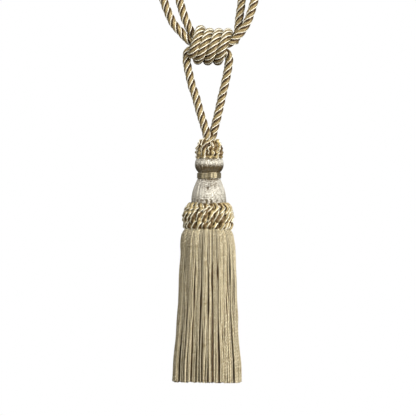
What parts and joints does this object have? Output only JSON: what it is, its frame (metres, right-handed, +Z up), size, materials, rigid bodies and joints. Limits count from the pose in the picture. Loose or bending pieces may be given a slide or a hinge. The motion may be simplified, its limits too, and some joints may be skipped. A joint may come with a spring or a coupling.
{
  "type": "curtain tieback tassel",
  "caption": "Twisted rope curtain tieback with two hook loops, a wound slide knot and one hanging bullion tassel with a floss head and corded collar.",
  "frame": {"origin": "the point of the wall hook that the bends of both loops bear on, at the top of the part", "axes": "+Z up along the hanging tassel, -Y towards the front, +X to the viewer's right"},
  "size_m": [0.1232, 0.0746, 0.6301],
  "materials": {
    "rope": "glossy twisted rayon rope, antique gold beige",
    "collar_cord": "glossy two-ply rayon cord, antique gold beige",
    "floss": "pale satin floss with a lengthwise sheen",
    "thread": "fine satin thread, closely whipped",
    "skirt_yarn": "twisted rayon bullion yarn, soft sheen"
  },
  "bodies": {
    "root": {"embrace_cord": "rope", "tassel_cord": "rope", "slide_knot": "rope", "crown_ruff": "collar_cord", "head_floss": "floss", "neck_whipping": "thread", "collar_ruff": "collar_cord", "skirt": "skirt_yarn"}
  },
  "joints": []
}
